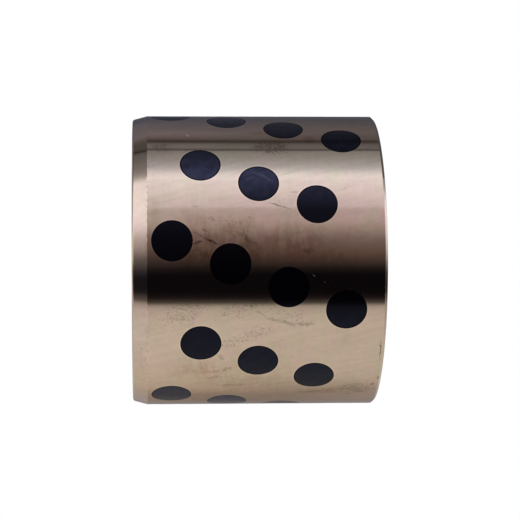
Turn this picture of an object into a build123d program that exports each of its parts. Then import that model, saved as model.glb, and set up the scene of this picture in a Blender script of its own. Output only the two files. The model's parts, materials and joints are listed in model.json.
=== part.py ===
"""Graphite plugged bushing: a bronze sleeve whose wall holds rings of solid graphite plugs.

The sleeve stands on its plain end, with its axis on +Z and its lead-in chamfer at the top.
The origin is on the bore axis, in the plane of the plain end.  Units are millimetres and degrees.
"""

from build123d import *

import os
from math import radians, tan

# Sleeve
outer_diameter = 60.0
bore_diameter = 50.0
sleeve_length = 49.8        # a 50 mm bushing, turned slightly short so that it never stands proud
lead_in_length = 3.0        # the long chamfer that starts the sleeve into its housing
lead_in_angle = 15.0
lead_in_nose_radius = 0.5   # where the lead-in meets the end face
plain_end_break = 0.5       # 45 degree edge break round the outside of the plain end
bore_break = 1.0            # 45 degree chamfer at both mouths of the bore

# Graphite plugs, in rings that climb from the plain end
plug_diameter = 8.0
ring_count = 7
plugs_per_ring = 5
first_ring_height = 8.0     # plain end to the centres of the lowest ring
ring_pitch = 5.67           # axial distance from one ring to the next
ring_turn = 4.36            # each ring is turned this much past the one below, which slants the rows
first_plug_angle = -108.9   # of a plug in the lowest ring, from +X

outer_radius = outer_diameter / 2
bore_radius = bore_diameter / 2
wall_thickness = outer_radius - bore_radius
mid_wall_radius = (outer_radius + bore_radius) / 2
lead_in_drop = lead_in_length * tan(radians(lead_in_angle))
plug_spacing = 360 / plugs_per_ring


def ring_height(ring):
    """Height of a ring's plug centres above the plain end."""
    return first_ring_height + ring * ring_pitch


def ring_start(ring):
    """Angle of a ring's first plug: odd rings also sit half a plug spacing round, between their neighbours."""
    half_step = plug_spacing / 2 if ring % 2 else 0
    return first_plug_angle + ring * ring_turn + half_step


def seat(ring, plug):
    """The plane at mid wall that a plug is centred on, facing straight out from the axis."""
    around = ring_start(ring) + plug * plug_spacing
    ring_plane = Plane(origin=(0, 0, ring_height(ring))).rotated((0, 0, around))
    out = ring_plane.x_dir
    return Plane(origin=ring_plane.origin + out * mid_wall_radius, x_dir=(0, 0, 1), z_dir=out)


def make_sleeve(seats):
    """The turned bronze sleeve, drilled radially for every plug."""
    with BuildPart() as sleeve:
        with BuildSketch(Plane.XZ) as section:
            with BuildLine():
                Polyline(
                    (bore_radius + bore_break, 0),
                    (outer_radius - plain_end_break, 0),
                    (outer_radius, plain_end_break),
                    (outer_radius, sleeve_length - lead_in_length),
                    (outer_radius - lead_in_drop, sleeve_length),
                    (bore_radius + bore_break, sleeve_length),
                    (bore_radius, sleeve_length - bore_break),
                    (bore_radius, bore_break),
                    close=True,
                )
            make_face()
            nose = section.vertices().group_by(Axis.Y)[-1].sort_by(Axis.X)[-1]
            fillet(nose, radius=lead_in_nose_radius)
        revolve(axis=Axis.Z)
        with Locations(seats):
            Hole(radius=plug_diameter / 2, depth=wall_thickness)
    return sleeve.part


def make_plug(seat_plane):
    """One graphite plug, machined flush with the outside of the sleeve and with its bore."""
    with BuildPart() as plug:
        with BuildSketch(seat_plane):
            Circle(plug_diameter / 2)
        extrude(amount=wall_thickness, both=True)
        with BuildSketch(Plane.XY):
            Circle(outer_radius)
            Circle(bore_radius, mode=Mode.SUBTRACT)
        extrude(amount=sleeve_length, mode=Mode.INTERSECT)
    return plug.part


os.makedirs("parts", exist_ok=True)

seats = {
    f"plug_ring{ring + 1}_{plug + 1}": seat(ring, plug)
    for ring in range(ring_count)
    for plug in range(plugs_per_ring)
}

bronze_sleeve = make_sleeve(list(seats.values()))
bronze_sleeve.label = "bronze_sleeve"
export_step(bronze_sleeve, "parts/bronze_sleeve.step")

for name, seat_plane in seats.items():
    graphite_plug = make_plug(seat_plane)
    graphite_plug.label = name
    export_step(graphite_plug, f"parts/{name}.step")
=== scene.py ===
"""Looks for the graphite plugged bushing: a turned bronze sleeve with rings of solid graphite plugs.

The sleeve stands on its plain end at the origin, with its lead-in chamfer at the top (+Z).  The camera
looks at it from -Y and is rolled a quarter turn, so that the sleeve lies across the picture with its
lead-in at the left.  Lengths are metres, most of them written as millimetres times MM.
"""

import json
import random
from math import asin, atan2, cos, hypot, pi, radians, sin, sqrt, tan

import bpy
import numpy as np
from mathutils import Euler, Matrix, Vector


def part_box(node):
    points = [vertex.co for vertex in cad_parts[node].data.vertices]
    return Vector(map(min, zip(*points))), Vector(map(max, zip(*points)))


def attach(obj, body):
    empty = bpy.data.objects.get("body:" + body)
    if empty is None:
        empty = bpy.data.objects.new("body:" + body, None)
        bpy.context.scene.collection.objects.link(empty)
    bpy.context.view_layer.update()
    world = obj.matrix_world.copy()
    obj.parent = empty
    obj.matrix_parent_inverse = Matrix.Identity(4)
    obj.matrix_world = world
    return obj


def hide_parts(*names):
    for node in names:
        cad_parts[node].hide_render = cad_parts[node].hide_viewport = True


MM = 0.001

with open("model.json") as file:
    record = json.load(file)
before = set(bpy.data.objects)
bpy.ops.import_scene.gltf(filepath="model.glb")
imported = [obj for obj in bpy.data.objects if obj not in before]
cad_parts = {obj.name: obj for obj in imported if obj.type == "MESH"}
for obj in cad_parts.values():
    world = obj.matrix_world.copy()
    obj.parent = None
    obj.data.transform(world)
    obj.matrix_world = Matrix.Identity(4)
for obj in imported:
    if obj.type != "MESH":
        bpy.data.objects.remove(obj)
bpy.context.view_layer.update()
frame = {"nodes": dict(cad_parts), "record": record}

# ---------------------------------------------------------------- sizes

OUTER_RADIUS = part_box("bronze_sleeve")[1].x
SLEEVE_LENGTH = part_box("bronze_sleeve")[1].z
BORE_RADIUS = frame["record"]["mounts"][0]["dims"]["r_mm"] * MM

LEAD_IN_LENGTH = 3.0 * MM
LEAD_IN_ANGLE = radians(15)
LEAD_IN_NOSE = 0.5 * MM      # radius where the lead-in meets the end face
PLAIN_END_BREAK = 0.5 * MM
BORE_BREAK = 1.0 * MM
CORNER = 0.12 * MM           # radius left on the other turned corners

PLUG_RADIUS = 4.0 * MM
HOLE_EDGE = 0.012 * MM       # radius on the rim of each drilled hole
PLUG_EDGE = 0.05 * MM        # radius on the rim of each plug, where the soft graphite crumbles
PLUG_GAP = 0.01 * MM         # between a plug and its hole
PLUG_RECESS = 0.01 * MM      # how far the softer graphite is worn below the bronze


def plug_axis(node):
    """(angle from +X, height) of a plug's axis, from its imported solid."""
    low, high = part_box(node)
    middle = (low + high) / 2
    return atan2(middle.y, middle.x), middle.z


# The plugs stand in slanting columns.  Odd rings lie in every other column, even rings in the rest.
RINGS = 7
PLUGS_PER_RING = 5
COLUMNS = 2 * PLUGS_PER_RING
FIRST_ANGLE, FIRST_HEIGHT = plug_axis("plug_ring1_1")
LAST_ANGLE, LAST_HEIGHT = plug_axis("plug_ring7_1")
RING_PITCH = (LAST_HEIGHT - FIRST_HEIGHT) / (RINGS - 1)
RING_TURN = (LAST_ANGLE - FIRST_ANGLE) / (RINGS - 1)
COLUMN_ANGLE = 2 * pi / COLUMNS


def slant(height):
    """How far a column has turned at this height, past where it is at the lowest ring."""
    return RING_TURN * (height - FIRST_HEIGHT) / RING_PITCH


# ---------------------------------------------------------------- mesh building

UP = Vector((0, 0, 1))
FAR = 5.0 * MM      # rim distance of a point that is nowhere near a rim


def outward(angle):
    """The direction out from the axis at this angle from +X."""
    return Vector((cos(angle), sin(angle), 0))


def around(angle):
    """The direction round the axis there, towards larger angles."""
    return Vector((-sin(angle), cos(angle), 0))


class Shell:
    """A mesh built from closed rings of points, each with its exact normal and its distance from a rim.

    The rim is where bronze meets graphite.  Below the surface, inside the joint, the distance is
    negative."""

    def __init__(self):
        self.points = []
        self.normals = []
        self.rims = []
        self.faces = []

    def add(self, point, normal, rim=FAR):
        self.points.append(point)
        self.normals.append(normal)
        self.rims.append(rim / MM)
        return len(self.points) - 1

    def ring(self, places):
        """Adds (point, normal) or (point, normal, rim distance) and returns their numbers."""
        return [self.add(*place) for place in places]

    def bridge(self, ring, following):
        """Quads between two rings, facing out where following is to the left of ring as it runs."""
        count = len(ring)
        for i in range(count):
            j = (i + 1) % count
            self.faces.append((ring[i], ring[j], following[j], following[i]))

    def cap(self, ring, point, normal):
        """A fan from ring to a point in its middle."""
        middle = self.add(point, normal)
        count = len(ring)
        for i in range(count):
            self.faces.append((ring[i], ring[(i + 1) % count], middle))

    def build(self, name, material, **levels):
        """The mesh as an object, with "rim" in mm and any other levels as attributes of its points."""
        mesh = bpy.data.meshes.new(name)
        mesh.from_pydata(self.points, [], self.faces)
        mesh.polygons.foreach_set("use_smooth", [True] * len(mesh.polygons))
        mesh.normals_split_custom_set_from_vertices(self.normals)
        for level, values in {"rim": self.rims, **levels}.items():
            mesh.attributes.new(level, "FLOAT", "POINT").data.foreach_set("value", values)
        mesh.materials.append(material)
        piece = bpy.data.objects.new(name, mesh)
        bpy.context.scene.collection.objects.link(piece)
        return piece


def rounded_section(corners, steps=4):
    """The arcs of a closed section, from its (radius, height, corner radius) corners, anticlockwise.

    Returns one list per corner of (radius, height, normal radius, normal height)."""
    arcs = []
    count = len(corners)
    for i, (r, z, size) in enumerate(corners):
        here = Vector((r, z))
        before = (Vector(corners[i - 1][:2]) - here).normalized()
        after = (Vector(corners[(i + 1) % count][:2]) - here).normalized()
        half = before.angle(after) / 2
        centre = here + (before + after).normalized() * size / sin(half)
        start = Vector((-before.y, before.x))      # outward normal of the edge that arrives
        end = Vector((after.y, -after.x))          # and of the edge that leaves
        arc = []
        for step in range(steps + 1):
            normal = start.slerp(end, step / steps)
            place = centre + normal * size
            arc.append((place.x, place.y, normal.x, normal.y))
        arcs.append(arc)
    return arcs


# ---------------------------------------------------------------- the sleeve

CELL_STEPS = 36        # mesh steps across a column
PITCH_STEPS = 8        # and up one ring pitch
END_STEPS = (10, 7)    # and from the end rings to the wall's lower and upper edge
SPREAD = (0.7, 0.45, 0.25, 0.11, 0.03, 0.0)        # rings of mesh from a cell's edge in to its hole
HOLE_TILTS = (pi / 4, pi / 2)                      # and round the rim of the hole


def make_sleeve(material):
    """The sleeve as one mesh: its outside and bore in cells round their holes, and its turned ends."""
    lead_in_drop = LEAD_IN_LENGTH * tan(LEAD_IN_ANGLE)
    top_radius = OUTER_RADIUS - lead_in_drop
    mouth = BORE_RADIUS + BORE_BREAK
    arcs = rounded_section([
        (mouth, 0, CORNER),
        (OUTER_RADIUS - PLAIN_END_BREAK, 0, CORNER),
        (OUTER_RADIUS, PLAIN_END_BREAK, CORNER),
        (OUTER_RADIUS, SLEEVE_LENGTH - LEAD_IN_LENGTH, CORNER),
        (top_radius, SLEEVE_LENGTH, LEAD_IN_NOSE),
        (mouth, SLEEVE_LENGTH, CORNER),
        (BORE_RADIUS, SLEEVE_LENGTH - BORE_BREAK, CORNER),
        (BORE_RADIUS, BORE_BREAK, CORNER),
    ])
    plain_end = arcs[7] + arcs[0] + arcs[1] + arcs[2]
    lead_in_end = arcs[3] + arcs[4] + arcs[5] + arcs[6]
    shell = Shell()
    outside = Wall(shell, OUTER_RADIUS, 1, plain_end[-1][1], lead_in_end[0][1])
    bore = Wall(shell, BORE_RADIUS, -1, plain_end[0][1], lead_in_end[-1][1])
    for column in range(COLUMNS):
        for ring in range(column % 2, RINGS, 2):
            make_hole(outside, bore, column, ring)
    close_end(bore, outside, 0, plain_end[1:-1])
    close_end(outside, bore, -1, lead_in_end[1:-1])
    return shell.build("sleeve", material)


class Wall:
    """The outside or the bore of the sleeve, as a slanting grid of points that cells share.

    facing is 1 where the wall faces away from the axis and -1 where it faces it."""

    def __init__(self, shell, radius, facing, bottom, top):
        self.shell = shell
        self.radius = radius
        self.facing = facing
        ring_steps = (RINGS - 1) * PITCH_STEPS
        self.levels = [
            *np.linspace(bottom, FIRST_HEIGHT, END_STEPS[0] + 1)[:-1],
            *np.linspace(FIRST_HEIGHT, LAST_HEIGHT, ring_steps + 1),
            *np.linspace(LAST_HEIGHT, top, END_STEPS[1] + 1)[1:],
        ]
        self.numbers = {}

    def place(self, angle, height, depth=0.0):
        """The (point, normal) of the wall at this angle and height, or depth below its face."""
        out = outward(angle)
        return out * (self.radius - self.facing * depth) + UP * height, out * self.facing

    def spot(self, step, level):
        """(angle, height) of a grid point."""
        height = self.levels[level]
        return FIRST_ANGLE + (step / CELL_STEPS - 0.5) * COLUMN_ANGLE + slant(height), height

    def number(self, step, level):
        """The mesh's number for a grid point, which is shared by the cells round it."""
        key = step % (COLUMNS * CELL_STEPS), level % len(self.levels)
        if key not in self.numbers:
            self.numbers[key] = self.shell.add(*self.place(*self.spot(*key)))
        return self.numbers[key]

    def edge(self, level):
        """The numbers of the grid points at this level, once round."""
        return [self.number(step, level) for step in range(COLUMNS * CELL_STEPS)]


def cell_outline(wall, column, ring):
    """The grid points round one plug's cell, anticlockwise as seen from outside."""
    left, right = column * CELL_STEPS, (column + 1) * CELL_STEPS
    middle = END_STEPS[0] + ring * PITCH_STEPS
    low = 0 if ring < 2 else middle - PITCH_STEPS
    high = len(wall.levels) - 1 if ring > RINGS - 3 else middle + PITCH_STEPS
    return [
        *((step, low) for step in range(left, right)),
        *((right, level) for level in range(low, high)),
        *((step, high) for step in range(right, left, -1)),
        *((left, level) for level in range(high, low, -1)),
    ]


def cell_rings(wall, column, ring):
    """Rings of mesh from the edge of a cell in to its hole and round the hole's rim."""
    angle = FIRST_ANGLE + column * COLUMN_ANGLE + ring * RING_TURN
    height = FIRST_HEIGHT + ring * RING_PITCH
    rim = PLUG_RADIUS + HOLE_EDGE
    outline = cell_outline(wall, column, ring)
    spots = [wall.spot(*key) for key in outline]
    turns = [atan2(z - height, wall.radius * (a - angle)) for a, z in spots]

    def face_place(spot, turn, share):
        """A place on the wall, at this share of the way from the rim out to a spot of the outline."""
        rim_angle = angle + asin(rim * cos(turn) / wall.radius)
        rim_height = height + rim * sin(turn)
        a = rim_angle + share * (spot[0] - rim_angle)
        z = rim_height + share * (spot[1] - rim_height)
        from_axis = hypot(wall.radius * sin(a - angle), z - height)
        return *wall.place(a, z), from_axis - rim

    def rim_place(turn, tilt):
        """A place on the rounded rim, whose normal is tilted this far from the wall's into the hole."""
        radius = PLUG_RADIUS + HOLE_EDGE * (1 - sin(tilt))
        depth = HOLE_EDGE * (1 - cos(tilt))
        a = angle + asin(radius * cos(turn) / (wall.radius - wall.facing * depth))
        point, normal = wall.place(a, height + radius * sin(turn), depth)
        side = around(angle) * cos(turn) + UP * sin(turn)
        return point, (normal * cos(tilt) - side * sin(tilt)).normalized(), -depth

    rings = [[wall.number(*key) for key in outline]]
    for share in SPREAD:
        places = [face_place(spot, turn, share) for spot, turn in zip(spots, turns)]
        rings.append(wall.shell.ring(places))
    for tilt in HOLE_TILTS:
        rings.append(wall.shell.ring([rim_place(turn, tilt) for turn in turns]))
    return rings


def make_hole(outside, bore, column, ring):
    """A cell of the outside, the cell of the bore behind it, and the drilled hole between them."""
    chain = cell_rings(outside, column, ring) + cell_rings(bore, column, ring)[::-1]
    for outer, inner in zip(chain, chain[1:]):
        outside.shell.bridge(outer, inner)


def close_end(start, finish, level, section):
    """A turned end of the sleeve, from one wall's edge to the other's along points of the section.

    level is the walls' level at this end, 0 or -1."""
    shell = start.shell
    count = COLUMNS * CELL_STEPS
    first = [start.spot(step, level)[0] for step in range(count)]
    last = [finish.spot(step, level)[0] for step in range(count)]
    rings = [start.edge(level)]
    for i, (r, z, normal_r, normal_z) in enumerate(section, 1):
        share = i / (len(section) + 1)
        places = []
        for a, b in zip(first, last):
            out = outward(a + share * (b - a))
            places.append((out * r + UP * z, out * normal_r + UP * normal_z))
        rings.append(shell.ring(places))
    rings.append(finish.edge(level))
    for ring, following in zip(rings, rings[1:]):
        shell.bridge(ring, following)


# ---------------------------------------------------------------- the plugs

PLUG_STEPS = 96
PLUG_SHARES = (0.25, 0.5, 0.75, 0.9)              # rings of mesh from a plug's middle out to its rim
PLUG_TILTS = (0, pi / 6, pi / 3, pi / 2)          # and round its rim


def plug_face(angle, height, radius, facing):
    """Rings of places from near the middle of one face of a plug out to its rim and round it."""
    out = outward(angle)
    across = around(angle)
    body = PLUG_RADIUS - PLUG_GAP
    turns = [2 * pi * i / PLUG_STEPS for i in range(PLUG_STEPS)]

    def place(turn, reach, depth, tilt):
        a = reach * cos(turn)
        wall = radius - facing * depth
        point = out * sqrt(wall * wall - a * a) + across * a + UP * (height + reach * sin(turn))
        face = Vector((point.x, point.y, 0)).normalized() * facing
        side = across * cos(turn) + UP * sin(turn)
        return point, (face * cos(tilt) + side * sin(tilt)).normalized(), body - reach - depth

    rings = [[place(turn, body * share, 0, 0) for turn in turns] for share in PLUG_SHARES]
    for tilt in PLUG_TILTS:
        reach = body - PLUG_EDGE * (1 - sin(tilt))
        rings.append([place(turn, reach, PLUG_EDGE * (1 - cos(tilt)), tilt) for turn in turns])
    return rings


def make_plug(node, material, haze):
    """A graphite plug, flush with the outside and the bore and with its rims a little rounded.

    The haze level, given at its side of larger angle and at the other and running evenly between, is
    partly dust and partly a painted sheen that follows how light falls on the plug."""
    angle, height = plug_axis(node)
    out = outward(angle)
    across = around(angle)
    shell = Shell()
    chain = []
    for facing, radius in ((1, OUTER_RADIUS - PLUG_RECESS), (-1, BORE_RADIUS + PLUG_RECESS)):
        rings = [shell.ring(places) for places in plug_face(angle, height, radius, facing)]
        centre = out * radius + UP * height
        if facing > 0:
            chain += rings
            shell.cap(rings[0], centre, out)
        else:
            chain += rings[::-1]
            shell.cap(rings[0][::-1], centre, -out)
    for inner, outer in zip(chain, chain[1:]):
        shell.bridge(outer, inner)
    shares = [0.5 + point.dot(across) / (2 * PLUG_RADIUS) for point in shell.points]
    hazes = [haze[1] + share * (haze[0] - haze[1]) for share in shares]
    return shell.build(node.replace("plug", "graphite"), material, haze=hazes)


# ---------------------------------------------------------------- materials

class Graph:
    """Adds nodes to a material.  Values may be numbers, vectors, colours or sockets."""

    def __init__(self, name):
        self.material = bpy.data.materials.new(name)
        self.material.use_nodes = True
        self.nodes = self.material.node_tree.nodes
        self.links = self.material.node_tree.links
        self.shader = self.nodes["Principled BSDF"]

    def feed(self, socket, value):
        """Links a socket to the value, or sets it where the value isn't a socket."""
        if isinstance(value, bpy.types.NodeSocket):
            self.links.new(value, socket)
        else:
            socket.default_value = value

    def set(self, node, **inputs):
        """Feeds a node's inputs; an underscore in a name stands for a space."""
        for name, value in inputs.items():
            self.feed(node.inputs[name.replace("_", " ")], value)

    def add(self, kind, settings=(), **inputs):
        node = self.nodes.new("ShaderNode" + kind)
        for name, value in dict(settings).items():
            setattr(node, name, value)
        self.set(node, **inputs)
        return node

    def combine(self, kind, operation, values):
        node = self.add(kind, {"operation": operation})
        for socket, value in zip(node.inputs, values):
            self.feed(socket, value)
        return node

    def math(self, operation, *values):
        return self.combine("Math", operation, values).outputs["Value"]

    def vector(self, operation, *values):
        return self.combine("VectorMath", operation, values).outputs["Vector"]

    def measure(self, operation, *values):
        """A vector operation whose result is a number."""
        return self.combine("VectorMath", operation, values).outputs["Value"]

    def scaled(self, value, factor):
        node = self.combine("VectorMath", "SCALE", [value])
        self.set(node, Scale=factor)
        return node.outputs["Vector"]

    def split(self, value):
        return self.add("SeparateXYZ", Vector=value).outputs

    def joined(self, x, y, z):
        return self.add("CombineXYZ", X=x, Y=y, Z=z).outputs["Vector"]

    def ramp(self, value, low, high, start=0.0, end=1.0):
        """Runs smoothly from start to end while value runs from low to high."""
        node = self.add(
            "MapRange", {"interpolation_type": "SMOOTHSTEP"},
            Value=value, From_Min=low, From_Max=high, To_Min=start, To_Max=end,
        )
        return node.outputs["Result"]

    def noise(self, place, stretch=(1, 1, 1), detail=2.0, roughness=0.5):
        """Seamless noise round 0.5 over a place in mm, with stretch features to the millimetre."""
        place = self.vector("MULTIPLY", place, stretch)
        node = self.add("TexNoise", Vector=place, Scale=1.0, Detail=detail, Roughness=roughness)
        return node.outputs["Fac"]

    def blend(self, share, first, second, how="MIX"):
        """Two colours blended; a share below 0 or above 1 is cut off there."""
        node = self.add("Mix", {"data_type": "RGBA", "blend_type": how})
        for number, value in ((0, share), (6, first), (7, second)):     # the node's sockets for colours
            self.feed(node.inputs[number], value)
        return node.outputs[2]

    def attribute(self, name):
        return self.add("Attribute", {"attribute_name": name}).outputs["Fac"]


# Marks of handling and of dried coolant on the outside, where the photograph shows them.  Each is
# (degrees round from -Y towards +X, mm up, length in mm, width in mm, degrees that its length leans
# from the axis, strength).
SPECKLED = (            # areas of fine dark specks and creases
    (-20, 39.5, 16, 8.0, -20, 1.0),
    (-18.5, 29, 15, 6.0, -10, 0.9),
    (-21, 20, 16, 6.0, 8, 0.75),
    (-29, 26, 15, 5.0, -20, 1.0),
    (-23.5, 17, 12, 3.4, 12, 0.8),
    (-31, 36, 10, 6.0, -20, 0.6),
    (-59.5, 4.7, 12, 8.0, 10, 1.3),
    (48.5, 22.4, 12, 8.0, 0, 1.3),
    (48.0, 44.3, 6, 4.5, 0, 1.0),
    (40, 46.0, 2, 8.0, 0, 0.9),
    (12, 31, 12, 8.0, 10, 0.8),
    (22, 20, 10, 5.0, 17, 0.5),
    (36, 6, 9, 4.0, -15, 0.4),
    (-56, 30, 34, 12, 0, 0.5),
    (-42, 48.3, 4, 18, 0, 0.8),
    (-33, 31, 7, 4, 10, 0.9),
)
STROKES = (             # single dark scratches and stains
    (7.1, 34.5, 4.8, 0.80, 25, 1.0),
    (9.4, 36.6, 3.4, 0.50, 28, 0.6),
    (11.1, 35.7, 2.2, 0.50, 30, 0.5),
    (6.6, 37.1, 3.2, 0.80, -18, 1.0),
    (2.9, 36.2, 4.0, 1.20, 40, 0.4),
    (3.6, 37.4, 3.2, 0.90, -15, 0.35),
    (1.6, 36.0, 3.0, 0.80, 10, 0.3),
    (7.8, 27.6, 3.6, 1.10, 70, 0.64),
    (9.3, 28.6, 2.4, 1.00, 40, 0.56),
    (5.4, 25.8, 5.2, 2.40, 25, 0.45),
    (3.0, 26.2, 4.5, 6.0, 0, 0.24),
    (3.4, 16.0, 2.6, 1.20, 20, 0.32),
    (5.0, 27.6, 4.6, 2.20, 0, 0.4),
    (20.5, 21.0, 6.0, 0.55, 17, 0.64),
    (26.3, 18.1, 2.6, 0.50, -7, 0.48),
    (35.0, 18.9, 4.2, 0.40, -24, 0.24),
    (28.0, 8.0, 3.0, 0.50, -29, 0.2),
    (20.3, 37.4, 2.0, 0.60, -8, 0.32),
    (-20.3, 24.7, 3.0, 0.70, 32, 0.3),
    (-22.7, 22.5, 4.6, 0.80, 15, 0.35),
    (-24.2, 19.4, 5.0, 1.10, 18, 0.5),
    (-24.7, 16.1, 5.2, 1.10, 3, 0.45),
    (-60.1, 6.2, 9.5, 0.90, -5, 0.4),
    (-62.7, 14.2, 9.0, 0.90, -6, 0.32),
    (-57.6, 7.1, 1.4, 0.60, 51, 0.8),
    (-62.7, 3.7, 3.0, 0.80, -5, 0.8),
    (-56.5, 1.7, 1.5, 0.60, -22, 0.8),
    (-65.3, 6.2, 1.4, 0.70, 20, 0.8),
    (-36.5, 0.9, 6.5, 0.45, 88, 0.9),
    (-52.0, 0.7, 1.9, 0.50, 88, 0.72),
    (-39.8, 32.2, 2.6, 1.20, 45, 0.32),
    (-17.3, 26.7, 1.0, 0.80, 0, 0.56),
    (15.6, 34.4, 2.2, 1.20, 30, 0.4),
    (16.0, 26.9, 1.4, 0.80, 0, 0.48),
)
SMEARED = (             # areas dulled by faint, blotchy smears
    (5.0, 35.5, 24, 15, 5, 1.0),
    (4.3, 27.4, 12, 9.0, 0, 0.9),
    (9.5, 28.8, 14, 10.0, 0, 1.0),
    (6.0, 31.0, 8, 5.0, 20, 0.9),
    (7.2, 19.0, 24, 13, 0, 0.8),
    (1.3, 12.0, 20, 9.0, 0, 0.5),
    (14, 36, 18, 7.0, 10, 0.5),
    (6.9, 26.6, 6.5, 4.5, 60, 1.1),
    (13.8, 20.8, 6.0, 4.5, 90, 0.4),
    (10.2, 7.3, 9, 4.0, 0, 0.4),
    (3.6, 15.6, 5.0, 3.4, 0, 0.9),
    (0.5, 30, 44, 8.0, 0, 0.5),
    (-8, 12, 20, 6.0, 0, 0.3),
    (15.5, 28, 28, 7.5, 0, 0.2),
    (6, 46.2, 3.2, 8, 0, 0.6),
    (19, 45.2, 3.4, 8, 0, 0.3),
    (-50, 28, 40, 22, 0, 0.35),
    (-46, 37, 16, 10, -20, 0.6),
    (-67, 30, 48, 17, 0, 0.35),
    (-61.8, 9.9, 22, 5.0, -5, 0.7),
    (-47.0, 37.5, 3.0, 3.5, 30, 0.9),
    (-47.7, 34.3, 9.0, 1.80, -10, 1.0),
    (-46.0, 31.0, 6.5, 1.60, -26, 1.0),
    (-51.2, 33.0, 12.0, 1.80, -8, 0.9),
    (-56.5, 30.0, 12.0, 2.20, -4, 0.9),
    (48.6, 22.4, 10, 6.0, 0, 0.9),
    (53.5, 14.4, 4.5, 4.0, 0, 0.5),
    (58.0, 24.5, 11, 2.0, 0, 0.4),
    (48.5, 44.0, 6, 4.0, 0, 0.5),
    (70, 7, 18, 10, 0, 0.4),
)
DUST = (                # grains of pale dust
    (56.3, 38.6, 0.6, 0.5, 0, 0.8),
    (-5.6, 14.3, 0.4, 0.4, 0, 0.22),
    (-8.6, 12.3, 0.4, 0.4, 0, 0.3),
    (-14, 10.2, 0.4, 0.3, 0, 0.2),
)
PLUG_SMEARS = (         # pale smears on a plug
    (33.3, 24.0, 4.6, 0.8, 32, 1.0),
    (32.4, 26.7, 3.4, 0.8, -25, 0.9),
    (34.5, 25.5, 3.0, 0.7, 40, 0.7),
    (31.5, 22.8, 2.6, 0.7, 28, 0.6),
)

# How hazy each plug is that the photograph shows, at its side of larger angle and at the other:
# partly dust and partly a painted sheen, whose level and slope across a plug follow how light falls
# on it.  Between the two it runs evenly, and what is below 0 or above 1 is cut off there.
PLUG_HAZE_AND_SHEEN = {
    "plug_ring1_1": (-0.1, 0.17),
    "plug_ring1_2": (0.11, 0.10),
    "plug_ring2_1": (0.38, -0.24),
    "plug_ring2_5": (0.2, 0.1),
    "plug_ring3_1": (0, 0),
    "plug_ring3_2": (0.20, 0.13),
    "plug_ring4_1": (1.1, 0.15),
    "plug_ring4_5": (0.16, 0.13),
    "plug_ring5_1": (0, 0),
    "plug_ring5_2": (0.33, 0.12),
    "plug_ring5_5": (0.8, 0.5),
    "plug_ring6_1": (0.2, 1.05),
    "plug_ring6_5": (0.12, 0.13),
    "plug_ring7_1": (-0.02, 0.03),
    "plug_ring7_2": (0.25, 0.03),
    "plug_ring7_5": (0.42, 0.34),
}


def surface_places(graph):
    """(millimetres in space, turned profile, surface): three ways to say where a point of the part is.

    The turned profile runs fast along the profile and slowly round it, for marks that a lathe leaves.
    The surface is (mm round from -Y towards +X, mm up, mm out from the outside of the sleeve)."""
    space = graph.scaled(graph.add("TexCoord").outputs["Object"], 1 / MM)
    x, y, z = graph.split(space)
    radius = graph.measure("LENGTH", graph.joined(x, y, 0.0))
    profile = graph.joined(x, y, graph.math("ADD", radius, z))
    round_angle = graph.math("ARCTAN2", x, graph.math("MULTIPLY", y, -1.0))
    outside = OUTER_RADIUS / MM
    mm_round = graph.math("MULTIPLY", round_angle, outside)
    mm_out = graph.math("SUBTRACT", radius, outside)
    return space, profile, graph.joined(mm_round, z, mm_out)


def cover(graph, surface, marks, core):
    """How strongly these marks cover a point.  Each is whole out to core of its size, then fades."""
    depth = graph.split(surface)["Z"]
    total = 0.0
    for degrees_round, up, length, width, lean, strength in marks:
        centre = Vector((radians(degrees_round) * OUTER_RADIUS / MM, up, 0))
        turn = radians(90 - lean)
        along = Vector((cos(turn), sin(turn), 0)) * 2 / length
        aside = Vector((-sin(turn), cos(turn), 0)) * 2 / width
        lengthwise = graph.measure("DOT_PRODUCT", surface, along)
        sideways = graph.measure("DOT_PRODUCT", surface, aside)
        place = graph.joined(lengthwise, sideways, depth)
        distance = graph.measure("DISTANCE", place, (along.dot(centre), aside.dot(centre), 0))
        share = graph.ramp(distance, core, 1.0, strength, 0.0)
        total = graph.math("MAXIMUM", total, share)
    return total


# Colours are linear RGB.  The bronze's own runs between the first two.
BRONZE_PINK = (0.466, 0.350, 0.272, 1)
BRONZE_YELLOW = (0.450, 0.360, 0.262, 1)
GRIME = (0.20, 0.165, 0.155, 1)        # what a dark mark leaves of the bronze's reflection
SMEAR = (0.64, 0.55, 0.48, 1)          # and what a smear does
DUST_COLOUR = (0.36, 0.34, 0.31, 1)
# near black of the ring round each plug: partly adhesive, partly painted shade in the gap
ADHESIVE_AND_GAP_SHADE = (0.004, 0.003, 0.004, 1)
TWIST = tan(radians(15)) / (OUTER_RADIUS / MM)     # radians a mm, which leans the streaks by 15 degrees
WAVE_HEIGHT = 0.006 * MM                           # of the slight waves in the bronze
RIDGE_HEIGHT = 0.0006 * MM                         # of the lathe's ridges in it


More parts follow.
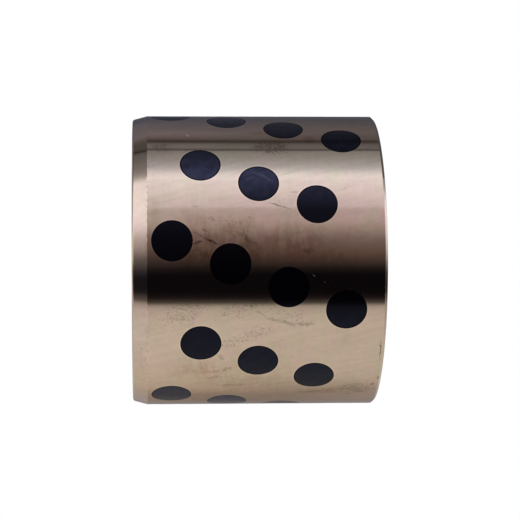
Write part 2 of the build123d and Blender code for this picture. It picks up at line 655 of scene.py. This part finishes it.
def turned_bronze(graph, space, profile, rim):
    """The bronze before any mark: (colour, fine ridges, a space that is twisted about the axis).

    The lathe and handling vary its brightness round 1.  Wiping left faint streaks that wind round the
    sleeve, so they are drawn in the twisted space."""
    turned_fine = graph.noise(profile, (0.03, 0.03, 2.6), detail=1.0)
    turned_wide = graph.noise(profile, (0.02, 0.02, 0.45))
    twist = graph.math("MULTIPLY", graph.split(space)["Z"], TWIST)
    rotation = graph.add("VectorRotate", {"rotation_type": "Z_AXIS"}, Vector=space, Angle=twist)
    twisted = rotation.outputs["Vector"]
    streaks = graph.noise(twisted, (0.9, 0.9, 0.07), detail=3.0)
    fine_streaks = graph.noise(twisted, (3.0, 3.0, 0.25), detail=2.0)
    clouds = graph.noise(space, (0.22, 0.22, 0.16), detail=4.0, roughness=0.6)
    mottle = graph.noise(space, (0.9, 0.9, 0.7), detail=3.0, roughness=0.6)
    level = 1.0
    for texture, amount in (
        (turned_fine, 0.05), (turned_wide, 0.05), (streaks, 0.18), (fine_streaks, 0.09), (clouds, 0.18),
        (mottle, 0.16),
    ):
        centred = graph.math("SUBTRACT", texture, 0.5)
        level = graph.math("MULTIPLY_ADD", centred, amount, level)

    # Brighter right beside a plug, partly burnish and partly a painted highlight round its rim,
    # and nicked along the corner where the lead-in starts.
    burnish_and_highlight = graph.ramp(rim, 0.05, 0.35, 0.18, 0.0)
    level = graph.math("MULTIPLY", level, graph.math("ADD", burnish_and_highlight, 1.0))
    corner = (SLEEVE_LENGTH - LEAD_IN_LENGTH) / MM
    from_corner = graph.math("SUBTRACT", graph.split(space)["Z"], corner)
    nicked = graph.ramp(graph.math("ABSOLUTE", from_corner), 0.1, 0.4, 0.8, 0.0)
    nicks = graph.math("SUBTRACT", graph.noise(space, (1.2, 1.2, 1.2), detail=4.0), 0.5)
    level = graph.math("MULTIPLY_ADD", graph.math("MULTIPLY", nicked, nicks), level, level)

    tint = graph.ramp(graph.noise(space, (0.12, 0.12, 0.25), detail=3.0), 0.38, 0.62)
    colour = graph.scaled(graph.blend(tint, BRONZE_PINK, BRONZE_YELLOW), level)
    return colour, turned_fine, twisted


def marked_bronze(graph, colour, space, twisted, surface):
    """The bronze with its marks, whose edges wander: (colour, how grimy, how dusty)."""
    grain = graph.noise(space, (2.8, 2.8, 2.4), detail=1.0)
    wander = graph.add("TexNoise", Vector=space, Scale=1.3, Detail=2.0).outputs["Color"]
    wander = graph.vector("SUBTRACT", wander, (0.5, 0.5, 0.5))
    wander = graph.vector("MULTIPLY", wander, (0.7, 0.7, 0.0))
    broken = graph.ramp(grain, 0.35, 0.6, 0.4, 1.0)
    strokes = cover(graph, graph.vector("ADD", surface, wander), STROKES, 0.3)
    strokes = graph.math("MULTIPLY", strokes, broken)
    surface = graph.vector("ADD", surface, graph.scaled(wander, 2.3))

    # The side that the photograph doesn't show is marked in patches, wherever a noise has them.
    unseen_side = graph.ramp(graph.split(space)["Y"], -6.0, 12.0)
    patches = graph.ramp(graph.noise(space, (0.11, 0.11, 0.14), detail=1.0), 0.55, 0.68)
    patches = graph.math("MULTIPLY", patches, unseen_side)

    density = graph.math("MAXIMUM", cover(graph, surface, SPECKLED, 0.3), patches)
    specks = graph.ramp(graph.math("MULTIPLY_ADD", density, 0.3, grain), 0.80, 1.0)
    creases = graph.noise(twisted, (0.9, 0.9, 0.5), detail=4.0)
    creases = graph.math("ABSOLUTE", graph.math("SUBTRACT", creases, 0.5))
    creases = graph.ramp(creases, 0.004, 0.022, 1.0, 0.0)
    creased = graph.ramp(graph.math("MULTIPLY_ADD", density, 0.3, grain), 0.66, 0.85)
    creases = graph.math("MULTIPLY", creases, creased)
    grime = graph.math("MULTIPLY", graph.math("MAXIMUM", specks, creases), 0.4)
    grime = graph.math("MAXIMUM", grime, strokes)

    blotches = graph.noise(space, (0.28, 0.28, 0.6), detail=4.0, roughness=0.7)
    blotches = graph.ramp(blotches, 0.36, 0.62, 0.3, 1.1)
    smears = cover(graph, surface, SMEARED, 0.0)
    smears = graph.math("MAXIMUM", smears, graph.math("MULTIPLY", patches, 0.4))
    smears = graph.math("MULTIPLY", smears, blotches)

    colour = graph.blend(smears, colour, SMEAR, "MULTIPLY")
    colour = graph.blend(grime, colour, GRIME, "MULTIPLY")
    dust = cover(graph, surface, DUST, 0.3)
    return graph.blend(dust, colour, DUST_COLOUR), grime, dust


def make_bronze():
    graph = Graph("bronze")
    space, profile, surface = surface_places(graph)
    rim = graph.attribute("rim")
    colour, turned_fine, twisted = turned_bronze(graph, space, profile, rim)
    colour, grime, dust = marked_bronze(graph, colour, space, twisted, surface)
    # A near-black ring round each plug's hole and down its walls: partly adhesive and partly painted
    # shade in the gap between plug and bronze.
    adhesive_and_gap_shade = graph.ramp(rim, 0.02, 0.04, 1.0, 0.0)
    colour = graph.blend(adhesive_and_gap_shade, colour, ADHESIVE_AND_GAP_SHADE)

    roughness = graph.math("MULTIPLY_ADD", grime, 0.2, 0.1)
    roughness = graph.math("MULTIPLY_ADD", dust, 0.5, roughness)
    metallic = graph.math("SUBTRACT", 1.0, dust)

    waves = graph.noise(space, (0.25, 0.25, 0.12), detail=1.0)
    wavy = graph.add("Bump", Height=waves, Distance=WAVE_HEIGHT).outputs["Normal"]
    ridged = graph.add("Bump", Height=turned_fine, Distance=RIDGE_HEIGHT, Normal=wavy)
    tangent = graph.add("Tangent", {"direction_type": "RADIAL", "axis": "Z"})
    graph.set(
        graph.shader, Base_Color=colour, Metallic=metallic, Roughness=roughness, Anisotropic=0.6,
        Anisotropic_Rotation=0.25, Tangent=tangent.outputs["Tangent"], Normal=ridged.outputs["Normal"],
    )
    return graph.material


GRAPHITE = (0.0006, 0.0006, 0.0011, 1)
# the plugs' pale haze: partly dust, partly a painted sheen
GRAPHITE_HAZE_AND_SHEEN = (0.0275, 0.0285, 0.057, 1)
GRAPHITE_SMEAR = (0.060, 0.062, 0.095, 1)
GRAPHITE_SHEEN = (0.68, 0.68, 1.0, 1)
GRAPHITE_RIDGES = 0.0008 * MM


def make_graphite():
    graph = Graph("graphite")
    space, profile, surface = surface_places(graph)
    inside = graph.ramp(graph.attribute("rim"), 0.1, 0.4)
    clouds = graph.noise(space, (0.6, 0.6, 0.6), detail=4.0, roughness=0.65)
    turned = graph.noise(profile, (0.03, 0.03, 3.0), detail=1.0)
    # Haze: partly dust and partly a painted sheen, lighter where light falls on each plug.
    haze = graph.math("MULTIPLY", graph.attribute("haze"), graph.ramp(clouds, 0.2, 0.75, 0.4, 1.3))
    haze = graph.math("MULTIPLY", haze, inside)
    colour = graph.blend(haze, GRAPHITE, GRAPHITE_HAZE_AND_SHEEN)
    smears = cover(graph, surface, PLUG_SMEARS, 0.1)
    smears = graph.math("MULTIPLY", smears, graph.math("MULTIPLY", clouds, 1.2))
    colour = graph.blend(graph.math("MULTIPLY", smears, inside), colour, GRAPHITE_SMEAR)
    roughness = graph.ramp(clouds, 0.3, 0.7, 0.09, 0.13)
    bump = graph.add("Bump", Height=turned, Distance=GRAPHITE_RIDGES)
    graph.set(
        graph.shader, Base_Color=colour, Roughness=roughness, Specular_IOR_Level=0.10,
        Specular_Tint=GRAPHITE_SHEEN, Normal=bump.outputs["Normal"],
    )
    return graph.material


# ---------------------------------------------------------------- studio

# The bronze is seen mostly by what it reflects: a white room with a flag (a black screen that gives the
# dark band), a reflector, a softbox and dimmer walls round it.  The camera sees none of them directly.
STUDIO_RADIUS = 1.5
PANEL_ROWS = (-58, -30, -3.5, 0, 10, 20, 30, 45, 60, 80)     # degrees up, seen from the sleeve
CEILING = (1.05, 1.08, 1.18)
CEILING_STEPS = 24
FLAG_GLOW = (0.0072, 0.0064, 0.0098)
FLAG_LOW = (0.0066, 0.0058, 0.0088)
OVER_FLAG = (0.10, 0.095, 0.12)
BRIGHT_TOP = (1.7, 1.72, 2.0)
DIM_TOP = (0.10, 0.10, 0.12)


def stop(azimuth, colour, high=None, low=None, under=None, top=CEILING):
    """One upright line of a panel, in degrees from -Y towards +X: {degrees up: (azimuth, glow)}.

    colour is its glow level with the sleeve, low the glow 3.5 degrees below it, under the glow 30
    degrees and more below, high the (azimuth, glow) that it leans to 30 degrees up, and top the glow
    from 60 degrees up.  A number is a grey."""

    def glow(value):
        return np.array(value if isinstance(value, tuple) else (value,) * 3)

    level = azimuth, glow(colour)
    low = (azimuth, glow(low)) if low else level
    under = (azimuth, glow(under)) if under else low
    high = (high[0], glow(high[1])) if high else level
    return {-58: under, -30: under, -3.5: low, 0: level, 30: high, 60: (high[0], glow(top))}


# The panels follow one another right round, and each starts at the last stop of the one before.
STUDIO = {
    "rear_wall": [
        stop(-180, (0.10, 0.105, 0.13), low=(0.092, 0.097, 0.12), top=1.0),
        stop(-163, (0.31, 0.28, 0.28), high=(-163, (0.55, 0.52, 0.55)), low=(0.30, 0.27, 0.28),
             under=0.6, top=0.2),
        stop(-148, (0.35, 0.305, 0.28), high=(-148, (0.98, 0.94, 1.03)), low=(0.35, 0.30, 0.28),
             under=0.9),
        stop(-132, (0.50, 0.44, 0.38), high=(-132, (1.00, 0.95, 0.94)), low=(0.46, 0.41, 0.365),
             under=0.9),
        stop(-124, (0.715, 0.65, 0.565), high=(-124, (0.98, 0.94, 0.90)), low=(0.57, 0.525, 0.47),
             under=0.9),
        stop(-118, (0.85, 0.79, 0.71), high=(-118, (0.95, 0.93, 0.90)), low=(0.67, 0.63, 0.575),
             under=0.9),
        stop(-110, (0.93, 0.90, 0.84), high=(-110, (0.94, 0.94, 0.93)), low=(0.80, 0.78, 0.735),
             under=0.95),
        stop(-102, (0.99, 0.96, 0.92), low=(0.94, 0.93, 0.91)),
    ],
    "front_wall": [
        stop(-85, (1.06, 1.05, 1.04), high=(-85, (1.00, 1.01, 1.05)), low=1.0),
        stop(-65, 1.08, high=(-65, (1.11, 1.13, 1.19)), low=1.0),
        stop(-50, 1.05, high=(-50, (1.06, 1.08, 1.14)), low=1.0),
    ],
    "flag": [
        stop(-46, 0.99, high=(-46, (1.01, 1.03, 1.10)), top=(0.8, 0.8, 0.85)),
        stop(-42, 0.93, high=(-42.5, (0.98, 0.99, 1.05)), top=(0.6, 0.6, 0.65)),
        stop(-39.5, 0.88, high=(-40, (0.87, 0.85, 0.90)), top=(0.5, 0.5, 0.55)),
        stop(-37.5, 0.78, high=(-38, (0.78, 0.75, 0.80)), top=(0.4, 0.4, 0.45)),
        stop(-35.9, 0.68, high=(-36, 0.58), top=(0.35, 0.34, 0.37)),
        stop(-33.5, 0.14, high=(-33.7, 0.18), top=OVER_FLAG),
        stop(-32.0, (0.076, 0.070, 0.071), high=(-30.5, (0.12, 0.10, 0.11)), top=OVER_FLAG),
        stop(-29.5, (0.0182, 0.0145, 0.0165), high=(-27, (0.022, 0.021, 0.029)), top=OVER_FLAG),
        stop(-25, FLAG_GLOW, high=(-22, (0.011, 0.0115, 0.022)), low=FLAG_LOW, top=OVER_FLAG),
        stop(-11, FLAG_GLOW, high=(-14, (0.010, 0.0105, 0.020)), low=FLAG_LOW, top=(0.16, 0.15, 0.18)),
    ],
    "reflector": [
        stop(-6.5, (0.024, 0.0195, 0.024), high=(-9, (0.036, 0.033, 0.050)), top=0.35),
        stop(-2, (0.068, 0.053, 0.057), high=(-4.5, (0.106, 0.095, 0.123)), low=(0.084, 0.065, 0.067),
             top=0.65),
        stop(2.5, (0.122, 0.090, 0.093), high=(0, (0.175, 0.152, 0.192)), low=(0.158, 0.113, 0.112),
             top=0.9),
        stop(7, (0.205, 0.155, 0.155), high=(3, (0.252, 0.220, 0.270)), low=(0.237, 0.178, 0.170),
             top=1.15),
        stop(12, (0.29, 0.23, 0.24), high=(6.5, (0.45, 0.40, 0.49)), top=1.35),
        stop(16.5, (0.375, 0.305, 0.345), high=(9.3, (0.60, 0.542, 0.655)), top=1.4),
        stop(21, (0.52, 0.46, 0.505), high=(13, (0.78, 0.725, 0.845)), top=1.4),
        stop(26, (0.70, 0.63, 0.68), high=(17, (0.91, 0.87, 1.03)), top=1.4),
        stop(31, (0.83, 0.76, 0.86), high=(20, (1.09, 1.07, 1.25)), top=1.5),
        stop(39.8, (0.91, 0.86, 0.99), high=(24, (1.33, 1.33, 1.58)), top=BRIGHT_TOP),
    ],
    "softbox": [
        stop(42.2, (1.19, 1.16, 1.40), high=(30, (1.66, 1.70, 2.04)), top=BRIGHT_TOP),
        stop(48, (1.24, 1.25, 1.47), high=(37, (1.76, 1.81, 2.18)), top=BRIGHT_TOP),
        stop(53, (1.40, 1.45, 1.69), high=(46, (1.82, 1.87, 2.24)), top=BRIGHT_TOP),
        stop(58.5, (1.50, 1.56, 1.85), high=(58, (1.79, 1.82, 2.18)), top=(1.4, 1.4, 1.6)),
        stop(64, (1.57, 1.67, 1.99), high=(63.5, (1.77, 1.80, 2.19))),
        stop(67, (1.68, 1.80, 2.18), high=(66, (1.70, 1.71, 2.12))),
        stop(70, (1.52, 1.68, 2.00), high=(68.5, (1.30, 1.35, 1.60))),
        stop(72.7, (1.26, 1.41, 1.68), high=(71, (0.80, 0.83, 0.97))),
        stop(75.6, (0.99, 1.09, 1.33), high=(74, (0.50, 0.51, 0.57))),
    ],
    "far_wall": [
        stop(78.7, (0.81, 0.90, 1.10), high=(77, (0.38, 0.40, 0.45)), top=(0.8, 0.8, 0.9)),
        stop(82, (0.70, 0.77, 0.93), high=(81, (0.27, 0.29, 0.31)), top=(0.7, 0.7, 0.8)),
        stop(86, (0.56, 0.615, 0.71), high=(87, (0.20, 0.21, 0.23)), top=(0.6, 0.6, 0.7)),
        stop(91, (0.47, 0.52, 0.59), high=(94, (0.14, 0.15, 0.17)), top=(0.5, 0.5, 0.6)),
        stop(94.8, (0.40, 0.44, 0.51), high=(98.5, (0.10, 0.11, 0.13)), top=DIM_TOP),
        stop(95.3, (0.125, 0.12, 0.13), high=(99.5, 0.03), top=DIM_TOP),
        stop(96.9, (0.125, 0.12, 0.13), high=(102, 0.03), top=DIM_TOP),
        stop(97.4, (0.31, 0.34, 0.40), high=(103, 0.05), low=(0.265, 0.29, 0.335), top=DIM_TOP),
        stop(101, (0.29, 0.31, 0.36), high=(106, 0.05), low=(0.245, 0.26, 0.295), top=DIM_TOP),
        stop(104.2, (0.235, 0.24, 0.275), high=(109, 0.07), low=(0.195, 0.20, 0.225), top=DIM_TOP),
        stop(105.2, (0.090, 0.084, 0.085), high=(110.5, 0.2), top=DIM_TOP),
        stop(108.2, (0.090, 0.084, 0.087), high=(112.5, 0.2), top=DIM_TOP),
    ],
    "dim_wall": [
        stop(110.0, (0.19, 0.18, 0.20), high=(114, (0.18, 0.17, 0.20)), top=DIM_TOP),
        stop(113.5, (0.245, 0.23, 0.275), high=(117, (0.24, 0.23, 0.28)), low=(0.19, 0.182, 0.21)),
        stop(119, (0.29, 0.28, 0.34), high=(120, (0.27, 0.26, 0.34)), low=(0.22, 0.212, 0.25)),
        stop(126, (0.225, 0.22, 0.27), high=(126, (0.26, 0.25, 0.33)), low=(0.205, 0.20, 0.235)),
        stop(140, (0.16, 0.165, 0.21), high=(140, (0.23, 0.23, 0.31)), low=(0.15, 0.15, 0.185)),
        stop(150, (0.112, 0.118, 0.158), low=(0.112, 0.112, 0.14), top=0.6),
        stop(180, (0.10, 0.105, 0.13), low=(0.092, 0.097, 0.12), top=1.0),
    ],
}


def studio_point(azimuth, elevation):
    """The point of the studio's walls in a direction that is given in degrees."""
    azimuth, elevation = radians(azimuth), radians(elevation)
    ray = Vector((cos(elevation) * sin(azimuth), -cos(elevation) * cos(azimuth), sin(elevation)))
    return ray * STUDIO_RADIUS


def panel_column(line):
    """The (point, glow) of a panel's line at each of its rows."""
    known = sorted(line)
    column = []
    for row in PANEL_ROWS:
        azimuth = np.interp(row, known, [line[each][0] for each in known])
        glow = [np.interp(row, known, [line[each][1][i] for each in known]) for i in range(3)]
        column.append((studio_point(azimuth, row), glow))
    return column


def make_panel(name, columns):
    """A glowing sheet through columns of (point, glow), which the camera doesn't see directly."""
    count = len(columns[0])
    faces = []
    for i in range(len(columns) - 1):
        for j in range(count - 1):
            a = i * count + j
            faces.append((a, a + count, a + count + 1, a + 1))
    mesh = bpy.data.meshes.new(name)
    mesh.from_pydata([point for column in columns for point, glow in column], [], faces)
    colours = [value for column in columns for point, glow in column for value in (*glow, 1)]
    mesh.color_attributes.new("glow", "FLOAT_COLOR", "POINT").data.foreach_set("color", colours)
    graph = Graph(name)
    graph.nodes.remove(graph.shader)
    colour = graph.add("Attribute", {"attribute_name": "glow"}).outputs["Color"]
    emission = graph.add("Emission", Color=colour).outputs["Emission"]
    graph.links.new(emission, graph.nodes["Material Output"].inputs["Surface"])
    mesh.materials.append(graph.material)
    panel = bpy.data.objects.new(name, mesh)
    panel.visible_camera = False
    bpy.context.scene.collection.objects.link(panel)


def make_studio():
    columns = []
    for name, stops in STUDIO.items():
        columns = columns[-1:] + [panel_column(each) for each in stops]
        make_panel(name, columns)
    make_panel("ceiling", [
        [(studio_point(azimuth, elevation), CEILING) for elevation in (PANEL_ROWS[-1], 90)]
        for azimuth in np.linspace(0, 360, CEILING_STEPS + 1)
    ])


def make_background():
    """The white that the camera sees behind the part."""
    world = bpy.data.worlds.new("background")
    world.use_nodes = True
    background = world.node_tree.nodes["Background"]
    background.inputs["Color"].default_value = (1, 1, 1, 1)
    background.inputs["Strength"].default_value = 1
    bpy.context.scene.world = world


# A striped card below the floor that only the edge break of the plain end reflects.  Its stripes are
# given by how far they lie towards +X, and its edges by how far towards +Y, as shares of its drop.
CARD_DROP = 1.2
CARD_EDGES = (0.7, 0.3, 0, -0.3)
COOL, PLAIN = np.array((1, 1.07, 1.30)), np.array((1, 1, 1.05))
CARD_STRIPES = (
    (0.62, 0.42 * COOL), (0.52, 0.52 * COOL), (0.46, 0.75 * COOL), (0.41, 1.40 * COOL),
    (0.36, 1.70 * COOL), (0.30, 1.80 * COOL), (0.20, 1.58 * COOL), (0.12, 1.28 * COOL),
    (0.08, 1.08 * COOL), (0.025, 0.73 * COOL), (-0.03, 0.33 * COOL), (-0.085, 0.08 * PLAIN),
    (-0.20, 0.03 * PLAIN), (-0.25, 0.22 * PLAIN), (-0.31, 0.68 * PLAIN), (-0.37, 0.75 * PLAIN),
    (-0.50, 0.88 * PLAIN),
)


def make_under_card():
    make_panel("under_card", [
        [(Vector((x * CARD_DROP, y * CARD_DROP, -CARD_DROP)), glow) for y in CARD_EDGES]
        for x, glow in CARD_STRIPES
    ])


FLOOR_STEPS = 96
FLOOR_RADII = (0.03, 0.06, 0.2, 0.6, 1.2)
SHADOW_REACH = (0.030, 0.046)      # distances from the axis between which the floor turns white
FLAT_VIEW = (0.76, 0.86)           # and 1 - sin(the view's elevation) between which it does so too


def make_floor():
    """A round pale floor that shows the sleeve's shadow and fades into the white background.

    From less than 8 degrees above it, as in the photograph's view, it looks white all over."""
    shell = Shell()
    rings = []
    for r in FLOOR_RADII:
        angles = [2 * pi * i / FLOOR_STEPS for i in range(FLOOR_STEPS)]
        rings.append(shell.ring([(outward(a) * r, UP) for a in angles]))
    shell.cap(rings[0], Vector((0, 0, 0)), UP)
    for inner, outer in zip(rings, rings[1:]):
        shell.bridge(outer, inner)
    graph = Graph("floor")
    graph.set(
        graph.shader, Base_Color=(0.50, 0.51, 0.50, 1), Roughness=0.9, Specular_IOR_Level=0.0,
        Emission_Color=(1, 1, 1, 1), Emission_Strength=0.55,
    )
    from_middle = graph.measure("LENGTH", graph.add("TexCoord").outputs["Object"])
    fade = graph.ramp(from_middle, *SHADOW_REACH)
    flatness = graph.add("LayerWeight", Blend=0.5).outputs["Facing"]
    fade = graph.math("MAXIMUM", fade, graph.ramp(flatness, *FLAT_VIEW))
    white = graph.add("Emission").outputs["Emission"]
    mix = graph.add("MixShader")
    for socket, value in zip(mix.inputs, (fade, graph.shader.outputs["BSDF"], white)):
        graph.feed(socket, value)
    graph.links.new(mix.outputs["Shader"], graph.nodes["Material Output"].inputs["Surface"])
    floor = shell.build("floor", graph.material)
    floor.visible_glossy = False


LENS = 129.2                          # mm, on a sensor 36 mm wide
CAMERA_PLACE = (0, -0.3906, 0.0461)
CAMERA_TURN = (0.008, -3.348, -0.128)     # degrees from looking straight along +Y with +Z at the left


def make_camera():
    """The photograph's view: from -Y, looking a little down, rolled so that +Z points left."""
    camera = bpy.data.cameras.new("camera")
    camera.sensor_width = 36
    camera.lens = LENS
    camera.clip_start = 0.01
    camera.clip_end = 10
    view = bpy.data.objects.new("camera", camera)
    lying = Matrix(((0, 1, 0), (0, 0, -1), (-1, 0, 0)))   # columns: right is -Z, up is +X, back is -Y
    aim = Euler([radians(turn) for turn in CAMERA_TURN], "XYZ").to_matrix()
    view.matrix_world = Matrix.Translation(CAMERA_PLACE) @ (lying @ aim).to_4x4()
    bpy.context.scene.collection.objects.link(view)
    bpy.context.scene.camera = view


# ---------------------------------------------------------------- scene

bronze = make_bronze()
graphite = make_graphite()

sleeve = make_sleeve(bronze)
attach(sleeve, "root")
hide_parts("bronze_sleeve")

other_haze = random.Random(5)
for node in sorted(frame["nodes"]):
    if node.startswith("plug_"):
        level = other_haze.uniform(0, 0.3)
        plug = make_plug(node, graphite, PLUG_HAZE_AND_SHEEN.get(node, (level, level)))
        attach(plug, "root")
        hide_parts(node)

make_background()
make_studio()
make_under_card()
make_floor()
make_camera()
bpy.context.scene.view_settings.view_transform = "Standard"
